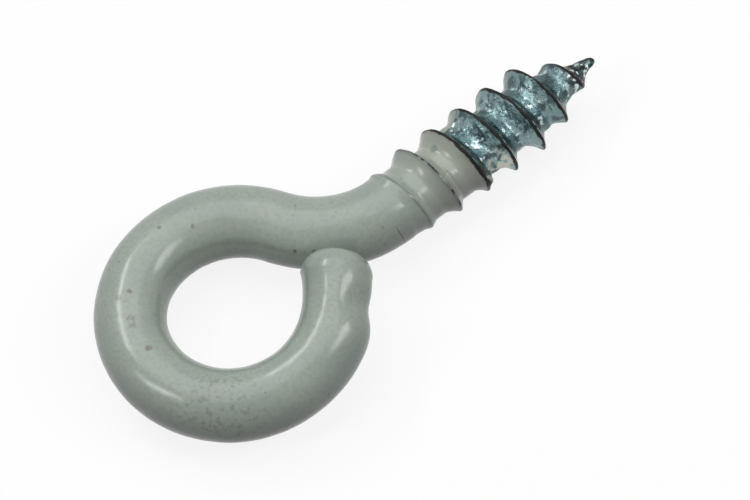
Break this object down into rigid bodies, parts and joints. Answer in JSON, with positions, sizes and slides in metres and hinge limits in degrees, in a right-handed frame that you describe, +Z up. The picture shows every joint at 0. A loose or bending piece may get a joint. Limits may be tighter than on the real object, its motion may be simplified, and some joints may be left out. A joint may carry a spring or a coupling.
{
  "type": "screw eye",
  "caption": "Screw eye bent from one steel wire: closed round eye with a lapped sheared end, reverse-bent neck and a wood-screw shank, coated pale grey down to the first turns.",
  "frame": {"origin": "centre of the eye, in the plane of its flat arc", "axes": "+X along the shank towards the point, +Z up out of the eye's plane, +Y to the side the neck bends round"},
  "size_m": [0.033, 0.0157, 0.0061],
  "materials": {
    "coated_steel": "gloss coat on bright zinc-plated steel"
  },
  "bodies": {
    "root": {"screw_eye": "coated_steel"}
  },
  "joints": []
}
